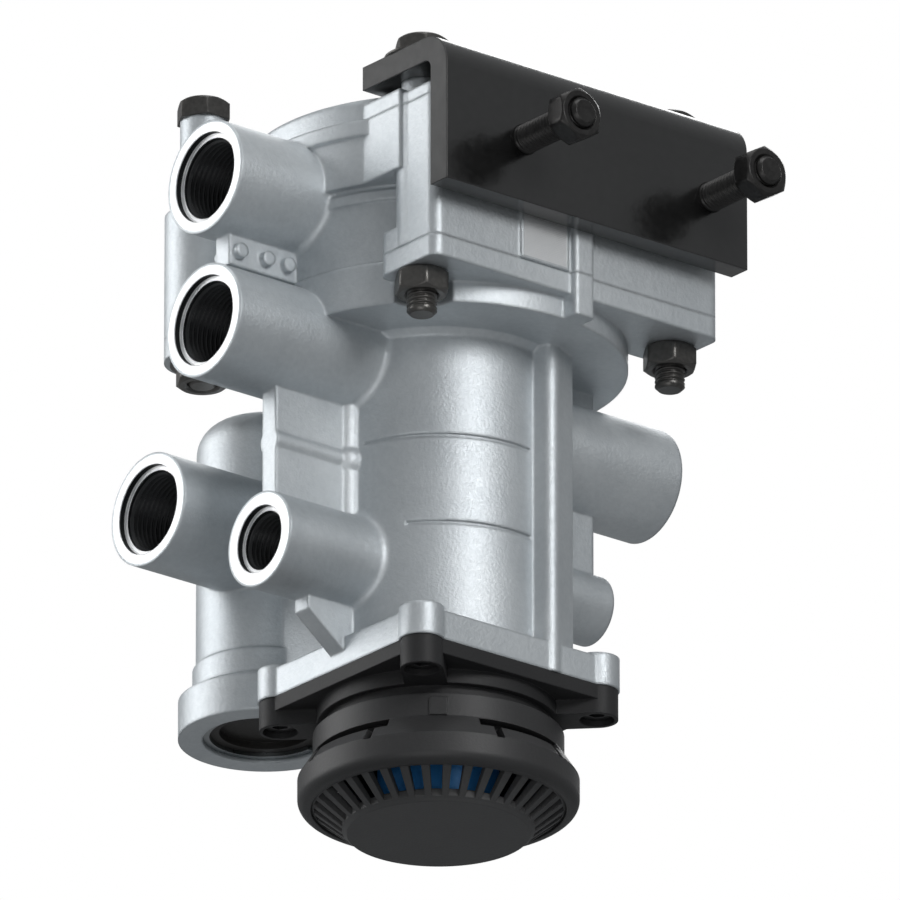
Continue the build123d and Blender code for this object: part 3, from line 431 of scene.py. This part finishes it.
darkSteel = coat(**coats["fastener"])
blackSteel = coat(**coats["stud"])
finishes = {
    "valve_body": castAlloy("castAlloyBody", [name for name in ports if name != "top_port"]),
    "upper_housing": castAlloy("castAlloyUpper", ["top_port"], padLook),
    "upper_cover": castAlloy("castAlloyCover", []),
    "frame_bracket": coat(**coats["bracket"]),
    "exhaust_flange": coat(**coats["flange"]),
    "silencer_housing": coat(**coats["sleeve"]),
    "silencer_cap": coat(**coats["cap"]),
    "silencer_element": bluePlastic("blueSilencerElement"),
    "side_plug": coat(**coats["plug"]),
    "side_snap_ring": brightSteel("snapRingSteel", (0.28, 0.30, 0.31), 0.3),
    "exhaust_flange_screws": brightSteel("screwSteel", (0.16, 0.16, 0.165), 0.36),
    "valve_spring": brightSteel("valveSpringSteel"),
    "throttle_spring": brightSteel("throttleSpringSteel"),
    "control_piston": turnedMetal("turnedControlPiston", turnedLook["alloy"]),
    "relay_piston": turnedMetal("turnedRelayPiston", turnedLook["alloy"]),
    "throttle_spool": turnedMetal("turnedSpool", turnedLook["alloy"], sideAxis),
    "inlet_valve": turnedMetal("turnedBrassValve", turnedLook["valveBrass"]),
    "valve_guide": turnedMetal("turnedBrassGuide", turnedLook["guideBrass"]),
    "front_housing_bolts": darkSteel,
    "rear_housing_bolts": darkSteel,
    "housing_nuts": darkSteel,
    "frame_studs": blackSteel,
    "frame_nuts": blackSteel,
}
rubber = sealRubber("sealRubber")
for name, node in frame["nodes"].items():
    node.data.materials.clear()
    node.data.materials.append(finishes.get(name, rubber))  # what is left are the rings and seals
print("finishes made")


# Faces of a tube, from rows of points that each run once round it: quads between the rows, and then
# either quads from the last row to the first, or a fan at each end round its middle point
def tubeFaces(rows, cols, closed=False):
    index = np.arange(rows * cols).reshape(rows, cols)
    if closed:
        index = np.vstack([index, index[:1]])
    looped = np.hstack([index, index[:, :1]])
    quads = np.stack([looped[:-1, :-1], looped[:-1, 1:], looped[1:, 1:], looped[1:, :-1]], axis=-1)
    faces = quads.reshape(-1, 4).tolist()
    if not closed:
        firstMiddle = np.full(cols, rows * cols)
        faces += np.stack([firstMiddle, looped[0, 1:], looped[0, :-1]], axis=-1).tolist()
        faces += np.stack([firstMiddle + 1, looped[-1, :-1], looped[-1, 1:]], axis=-1).tolist()
    return faces


# Boxes, low and high corner in mm, of the separate solids of a CAD node, parted at its middle
def solidBoxes(name, axes):
    node = frame["nodes"][name]
    flat = np.empty(len(node.data.vertices) * 3, dtype=np.float32)
    node.data.vertices.foreach_get("co", flat)
    points = flat.reshape(-1, 3) / mm
    middle = (points.min(axis=0) + points.max(axis=0)) / 2
    keys = sum((points[:, axis] > middle[axis]) * 2 ** place for place, axis in enumerate(axes))
    return [(points[keys == key].min(axis=0), points[keys == key].max(axis=0)) for key in np.unique(keys)]


fastenerLook = {"flats": 13.0, "around": 72, "chamfer": 1.1, "chamferFace": 0.94, "chamferRows": 6}
hexCorner = fastenerLook["flats"] / math.sqrt(3)
boltThread = {"pitch": 1.25, "depth": 0.62, "perPitch": 10, "startGap": 0.05}
threadShape = {"steep": 1.35, "root": 0.1}


# Height of a rolled thread, 0 at the root and 1 at the crest: a triangle wave along the axis that
# climbs one pitch a turn, cut flat at both ends
def threadWave(turn, along, pitch):
    phase = (along / pitch - turn / fullTurn) % 1.0
    return np.clip(threadShape["steep"] * (1.0 - np.abs(2.0 * phase - 1.0)) - threadShape["root"], 0.0, 1.0)


# One threaded stretch as profile rows from low to high
def threadRows(low, high, radius, thread=boltThread):
    count = int((high - low) / thread["pitch"] * thread["perPitch"])
    return [(along, radius, "thread") for along in np.linspace(low, high, count)]


# Rows of a plain round stretch, from pairs of place along the axis and radius
def roundRows(*pairs):
    return [(along, radius, "round") for along, radius in pairs]


# One hexagon as profile rows: the radius is the lesser of the hexagon and a chamfer cone at each
# chamfered end
def hexRows(low, high, lowChamfer, highChamfer):
    face = fastenerLook["flats"] / 2 * fastenerLook["chamferFace"]
    run = fastenerLook["chamfer"]
    rise = hexCorner - face
    steps = np.linspace(0.0, 1.0, fastenerLook["chamferRows"])
    lowEnd = [(low, hexCorner, "hex")]
    highEnd = [(high, hexCorner, "hex")]
    if lowChamfer:
        lowEnd = [(low + run * step, face + rise * step, "hex") for step in steps]
    if highChamfer:
        highEnd = [(high - run * (1 - step), hexCorner - rise * step, "hex") for step in steps]
    return lowEnd + highEnd


# A turned piece: points at origin + along * axis + radius * (cos turn * across + sin turn * third),
# with the radius of each profile row cut to the hexagon, or dipping with the thread wave
def turnedPart(profile, origin, axis, across, closed=False, thread=boltThread):
    origin, axis, across = (np.array(value, dtype=float) for value in (origin, axis, across))
    third = np.cross(axis, across)
    turn = np.linspace(0, fullTurn, fastenerLook["around"], endpoint=False)
    along = np.array([row[0] for row in profile])[:, None]
    radius = np.array([row[1] for row in profile])[:, None] + 0 * turn
    kinds = np.array([row[2] for row in profile])[:, None]
    hexRadius = fastenerLook["flats"] / 2 / np.cos(turn % (np.pi / 3) - np.pi / 6)
    radius = np.where(kinds == "hex", np.minimum(radius, hexRadius), radius)
    threaded = along[kinds == "thread"]
    if threaded.size:
        pitch = thread["pitch"]
        # The thread runs in and out over one pitch
        runIn = np.clip((along - threaded.min()) / pitch, 0, 1)
        runOut = np.clip((threaded.max() - along) / pitch, 0, 1)
        dip = thread["depth"] * (1 - threadWave(turn, along, pitch)) * runIn * runOut
        radius = np.where(kinds == "thread", radius - dip, radius)
    ring = np.cos(turn)[:, None] * across + np.sin(turn)[:, None] * third
    points = origin + along[..., None] * axis + radius[..., None] * ring
    rows, cols = radius.shape
    vertices = points.reshape(-1, 3)
    if not closed:
        vertices = np.vstack([vertices, origin + along[0] * axis, origin + along[-1] * axis])
    onThread = np.zeros(len(vertices), dtype=bool)
    onThread[:rows * cols] = np.repeat((kinds == "thread").ravel(), cols)
    return vertices, tubeFaces(rows, cols, closed), onThread


sharpAngle = math.radians(38)


# Several parts joined in one object, which stands for a CAD node where one is given
def joinedPiece(name, parts, node, material):
    faces = []
    shift = 0
    for partVertices, partFaces, _ in parts:
        faces += [[corner + shift for corner in face] for face in partFaces]
        shift += len(partVertices)
    mesh = bpy.data.meshes.new(name)
    mesh.from_pydata((np.vstack([part[0] for part in parts]) * mm).tolist(), [], faces)
    mesh.polygons.foreach_set("use_smooth", np.full(len(mesh.polygons), True))
    mesh.set_sharp_from_angle(angle=sharpAngle)
    # Edges within a thread stay smooth, so that its flanks read as one helix
    onThread = np.concatenate([part[2] for part in parts])
    ends = np.empty(len(mesh.edges) * 2, dtype=np.int32)
    mesh.edges.foreach_get("vertices", ends)
    sharp = np.empty(len(mesh.edges), dtype=bool)
    mesh.attributes["sharp_edge"].data.foreach_get("value", sharp)
    sharp &= ~onThread[ends.reshape(-1, 2)].all(axis=1)
    mesh.attributes["sharp_edge"].data.foreach_set("value", sharp)
    mesh.update()
    mesh.materials.append(material)
    piece = bpy.data.objects.new(name, mesh)
    bpy.context.scene.collection.objects.link(piece)
    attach(piece, "housing")
    if node:
        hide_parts(node)
    return piece


# Thread in each port: a closed ring with the thread inside and its plain outside in the metal, painted near
# black as the shade inside the port
portThread = {"pitch": 1.5, "depth": 0.85, "perPitch": 12, "wall": 0.3, "gap": 0.02, "endGap": 0.1}
threadShadeFinish = coat(**coats["portThread"])
for key, port in ports.items():
    into = np.array([-port["side"], 0.0, 0.0])
    start, end = portThread["gap"], port["length"] - portThread["endGap"]
    outer = port["threadR"] + portThread["wall"]
    profile = roundRows((start, outer), (end, outer))
    profile += threadRows(start, end, port["threadR"] - portThread["gap"], portThread)[::-1]
    shoulder = np.array(port["face"]) + into * portLook["mouthDepth"]
    ring = turnedPart(profile, shoulder, into, (0, 1, 0), closed=True, thread=portThread)
    joinedPiece(key + "Thread", [ring], None, threadShadeFinish)
print("port threads made")

springLook = {
    "valve_spring": {"joint": "inlet_valve_slide", "wire": 1.0, "turns": 4.0},
    "throttle_spring": {"joint": "throttle_spool_slide", "wire": 0.8, "turns": 5.0},
}
wireLook = {"perTurn": 56, "around": 16, "endTurn": 0.75}


# A wound spring: a round wire carried along a helix, whose pitch runs out to nothing over the end
# turns; each end of the wire closes in one point
def springPart(look, low, high):
    wire, turns = look["wire"], look["turns"]
    middle = (low + high) / 2
    radius = (high[0] - low[0]) / 2 - wire
    at = np.linspace(0.0, turns, int(turns * wireLook["perTurn"]))
    slope = np.clip(at / wireLook["endTurn"], 0, 1) * np.clip((turns - at) / wireLook["endTurn"], 0, 1)
    climb = np.concatenate([[0.0], np.cumsum((slope[1:] + slope[:-1]) / 2)])
    height = low[2] + wire + climb / climb[-1] * (high[2] - low[2] - 2 * wire)
    turn = fullTurn * at
    outward = np.stack([np.cos(turn), np.sin(turn), 0 * turn], axis=-1)
    line = middle + radius * outward
    line[:, 2] = height
    tangent = np.gradient(line, axis=0)
    tangent /= np.linalg.norm(tangent, axis=1)[:, None]
    third = np.cross(tangent, outward)
    spin = np.linspace(0, fullTurn, wireLook["around"], endpoint=False)[None, :, None]
    points = line[:, None] + wire * (np.cos(spin) * outward[:, None] + np.sin(spin) * third[:, None])
    vertices = np.vstack([points.reshape(-1, 3), line[:1], line[-1:]])
    return vertices, tubeFaces(*points.shape[:2]), np.zeros(len(vertices), dtype=bool)


# Each spring wound in its node's box, with its joint's fixed end and the share kept at the joint's limit
# worked out but not used
for node, look in springLook.items():
    low, high = (np.array(corner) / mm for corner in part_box(node))
    piece = joinedPiece(node + "Wound", [springPart(look, low, high)], node, finishes[node])
    joint = next(entry for entry in frame["record"]["behaviour"]["joints"] if entry["name"] == look["joint"])
    fixedEnd = joint["deforming_nodes"][0]["fixed_end_z_m"]
    keep = 1.0 - joint["range_m"][1] / (high[2] * mm - fixedEnd)
    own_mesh(piece)
print("springs wound")

studLook = {
    "radius": 4.0, "tip": 0.9, "plainBack": 6.6, "headR": 7.0, "headHeight": 1.8,
    "backEdge": 0.4, "edge": 0.3,
}


# A stud with a flat round head behind the bracket, and its thread towards the front
def studPart(low, high):
    look = studLook
    radius, headR, neck = look["radius"], look["headR"], look["headHeight"]
    length = high[1] - low[1]
    plainEnd = neck + look["plainBack"]
    profile = roundRows(
        (0.0, headR - look["backEdge"]), (look["backEdge"], headR), (neck - look["edge"], headR),
        (neck, headR - look["edge"]), (neck, radius), (plainEnd, radius))
    profile += threadRows(plainEnd + boltThread["startGap"], length - look["tip"], radius)
    profile += roundRows((length, radius - look["tip"]))
    origin = ((low[0] + high[0]) / 2, high[1], (low[2] + high[2]) / 2)
    return turnedPart(profile, origin, (0, -1, 0), (0, 0, 1))


boltLook = {
    "radius": 4.0, "tip": 0.9, "thread": 22.0, "dishR": 4.6, "dishDepth": 0.5, "dishSlope": 0.5,
    "flangedHead": 6.0, "plainHead": 5.5, "flangeUnder": 0.3, "flangeEdge": 0.7, "flangeRise": 1.7,
}


# A bolt that points down: its tip, thread and shank, a flange where it has one, and a hexagon with a
# dished top
def boltPart(low, high, headHeight, flangeR=0.0):
    look = boltLook
    radius, dishR, under = look["radius"], look["dishR"], look["flangeUnder"]
    top = high[2] - low[2]
    seat = top - headHeight
    hexLow = seat
    profile = roundRows((0.0, radius - look["tip"]))
    profile += threadRows(look["tip"], look["thread"], radius)
    profile += roundRows((look["thread"] + boltThread["startGap"], radius), (seat, radius))
    if flangeR:
        hexLow = seat + look["flangeRise"]
        profile += roundRows(
            (seat, flangeR - under), (seat + under, flangeR), (seat + look["flangeEdge"], flangeR),
            (hexLow, hexCorner))
    profile += hexRows(hexLow, top, False, True)
    profile += roundRows((top, dishR), (top - look["dishDepth"], dishR - look["dishSlope"]))
    origin = ((low[0] + high[0]) / 2, (low[1] + high[1]) / 2, low[2])
    return turnedPart(profile, origin, (0, 0, 1), (1, 0, 0))


nutLook = {"bore": 4.02, "boreChamfer": 0.7, "flangeHeight": 1.5, "flangeEdge": 0.8, "flangeOver": 0.2}


def nutPart(origin, axis, across, height, flangeR=0.0):
    look = nutLook
    bore, cut = look["bore"], look["boreChamfer"]
    profile = roundRows((cut, bore), (0.0, bore + cut))
    if flangeR:
        profile += hexRows(0.0, height - look["flangeHeight"], True, False)
        profile += roundRows((height - look["flangeEdge"], flangeR), (height, flangeR))
    else:
        profile += hexRows(0.0, height, True, True)
    profile += roundRows((height, bore + cut), (height - cut, bore))
    return turnedPart(profile, origin, axis, across, closed=True)


# A nut on a stud, its axis along y
def frameNut(low, high):
    origin = ((low[0] + high[0]) / 2, low[1], (low[2] + high[2]) / 2)
    return nutPart(origin, (0, 1, 0), (0, 0, 1), high[1] - low[1])


# A nut under the housing, its axis along z; one that is wider than its hexagon has a flange
def housingNut(low, high):
    reach = (high[0] - low[0]) / 2
    flangeR = reach if reach > hexCorner + nutLook["flangeOver"] else 0.0
    origin = ((low[0] + high[0]) / 2, (low[1] + high[1]) / 2, low[2])
    return nutPart(origin, (0, 0, 1), (1, 0, 0), high[2] - low[2], flangeR)


def frontBolt(low, high):
    return boltPart(low, high, boltLook["flangedHead"], (high[0] - low[0]) / 2)


def rearBolt(low, high):
    return boltPart(low, high, boltLook["plainHead"])


# Each fastener piece: the node that it replaces, the axes along which its solids lie apart and what
# makes one of them
fasteners = {
    "threadedStuds": ("frame_studs", (0,), studPart),
    "chamferedFrameNuts": ("frame_nuts", (0,), frameNut),
    "flangedFrontBolts": ("front_housing_bolts", (0,), frontBolt),
    "hexRearBolts": ("rear_housing_bolts", (0,), rearBolt),
    "chamferedHousingNuts": ("housing_nuts", (0, 1), housingNut),
}
for name, (node, axes, makePart) in fasteners.items():
    parts = [makePart(low, high) for low, high in solidBoxes(node, axes)]
    joinedPiece(name, parts, node, finishes[node])
print("fasteners made")

# Studio: a pale cove, whose floor lies far below because the camera looks up at the valve
coveLook = {
    "floorZ": -7000.0, "wallY": 12000.0, "top": 16000.0, "front": -16000.0, "half": 20000.0,
    "bendR": 4000.0, "bendRows": 25, "colour": (0.9, 0.9, 0.9), "dim": 0.98, "cloud": (3.0, 2.0),
    "floorGlow": 0.92, "metalShare": 0.12,  # how white camera rays and metal see the floor
}


# Camera rays see white and keep a share of the shadow on the floor
def paleFinish(name, look):
    finish = newFinish(name)
    where = finish.place()
    rise = finish.axes(where)[2].band((0.0, look["bendR"]), look["floorZ"])
    share = look["floorGlow"] + rise * (1.0 - look["floorGlow"])
    glow = finish.whiteSeen(share, look["metalShare"])
    dimmed = tuple(part * look["dim"] for part in look["colour"])
    tone = finish.mix(finish.noise(where, *look["cloud"]), look["colour"], dimmed)
    matt = finish.node("ShaderNodeBsdfDiffuse", Color=tone)
    pure = finish.node("ShaderNodeEmission", Color=white, Strength=1.0)
    return finish.show(finish.node("ShaderNodeMixShader", i0=glow, i1=matt, i2=pure))


# The cove: floor line, quarter round and wall line as one profile in y and z, carried along x
def studioCove(look):
    bend = np.linspace(0.0, np.pi / 2, look["bendRows"])
    bendY = look["wallY"] - look["bendR"] * (1 - np.sin(bend))
    bendZ = look["floorZ"] + look["bendR"] * (1 - np.cos(bend))
    profileY = np.concatenate([[look["front"]], bendY, [look["wallY"]]])
    profileZ = np.concatenate([[look["floorZ"]], bendZ, [look["top"]]])
    across = np.array([-look["half"], look["half"]])
    points = np.stack(np.broadcast_arrays(across[:, None], profileY[None], profileZ[None]), axis=-1)
    index = np.arange(points.shape[0] * points.shape[1]).reshape(points.shape[:2])
    quads = np.stack([index[:-1, :-1], index[1:, :-1], index[1:, 1:], index[:-1, 1:]], axis=-1).reshape(-1, 4)
    mesh = bpy.data.meshes.new("studioCove")
    mesh.from_pydata((points.reshape(-1, 3) * mm).tolist(), [], quads.tolist())
    mesh.polygons.foreach_set("use_smooth", np.full(len(quads), True))
    mesh.materials.append(paleFinish("paleCove", look))
    piece = bpy.data.objects.new("studioCove", mesh)
    bpy.context.scene.collection.objects.link(piece)


studioCove(coveLook)

worldLook = {
    "tint": (0.93, 0.97, 1.0, 1.0), "strength": 0.27, "ground": 0.13, "lift": (0.15, 0.95),
    "metalShare": 0.20,
}


# Brighter overhead and darker towards the ground, as in a studio tent
def studioWorld(look):
    world = bpy.data.worlds.new("studioWorld")
    bpy.context.scene.world = world
    sky = Finish(world, "ShaderNodeOutputWorld")
    height = sky.axes(sky.node("ShaderNodeTexCoord", output="Generated"))[2]
    lift = (height * 0.5 + 0.5).ramp(*look["lift"])
    shade = lift * (1.0 - look["ground"]) + look["ground"]
    dim = sky.node("ShaderNodeBackground", Color=look["tint"], Strength=shade * look["strength"])
    pure = sky.node("ShaderNodeBackground", Color=white, Strength=1.0)
    seen = sky.whiteSeen(1.0, lift * look["metalShare"])
    sky.show(sky.node("ShaderNodeMixShader", i0=seen, i1=dim, i2=pure))


studioWorld(worldLook)

# The photograph's view: its angles, and where its middle lies from the middle of the foot, in mm
cameraLook = {
    "azimuth": -39.0, "elevation": -21.8, "distance": 6000.0, "frameWidth": 236.8, "sensor": 36.0,
    "footZ": -133.0, "right": 3.0, "up": 65.0, "back": -22.0, "farClip": 100.0,
}
azimuth = math.radians(cameraLook["azimuth"])
elevation = math.radians(cameraLook["elevation"])
right = Vector((math.cos(azimuth), math.sin(azimuth), 0.0))
back = Vector((
    math.sin(azimuth) * math.cos(elevation), -math.cos(azimuth) * math.cos(elevation), math.sin(elevation)))
up = back.cross(right)
footMiddle = Vector((*columnAxis, cameraLook["footZ"]))
target = footMiddle + right * cameraLook["right"] + up * cameraLook["up"] + back * cameraLook["back"]
cameraData = bpy.data.cameras.new("photoCamera")
cameraData.sensor_width = cameraLook["sensor"]
cameraData.lens = cameraLook["sensor"] * cameraLook["distance"] / cameraLook["frameWidth"]
cameraData.clip_end = cameraLook["farClip"]
camera = bpy.data.objects.new("photoCamera", cameraData)
bpy.context.scene.collection.objects.link(camera)
camera.location = (target + back * cameraLook["distance"]) * mm
camera.rotation_euler = back.to_track_quat("Z", "Y").to_euler()
bpy.context.scene.camera = camera

# Each light by its steps from the camera's target: right, up and towards the camera, in mm
lights = {
    "keyLight": {"place": (520.0, 560.0, 620.0), "size": 360.0, "power": 3.9},
    "leftLight": {"place": (-720.0, 160.0, -160.0), "size": 640.0, "power": 3.1},
    "frontLight": {"place": (-120.0, -40.0, 900.0), "size": 500.0, "power": 1.15},
    "topLight": {"place": (0.0, 900.0, -100.0), "size": 600.0, "power": 2.0},
    "rearLight": {"place": (150.0, 260.0, -1100.0), "size": 700.0, "power": 4.0},
}
for name, look in lights.items():
    data = bpy.data.lights.new(name, "AREA")
    data.shape = "DISK"
    data.size = look["size"] * mm
    data.energy = look["power"]
    lamp = bpy.data.objects.new(name, data)
    bpy.context.scene.collection.objects.link(lamp)
    stepRight, stepUp, stepBack = look["place"]
    away = right * stepRight + up * stepUp + back * stepBack
    lamp.location = (target + away) * mm
    lamp.rotation_euler = away.to_track_quat("Z", "Y").to_euler()

bpy.context.scene.view_settings.view_transform = "Standard"
print("studio set")
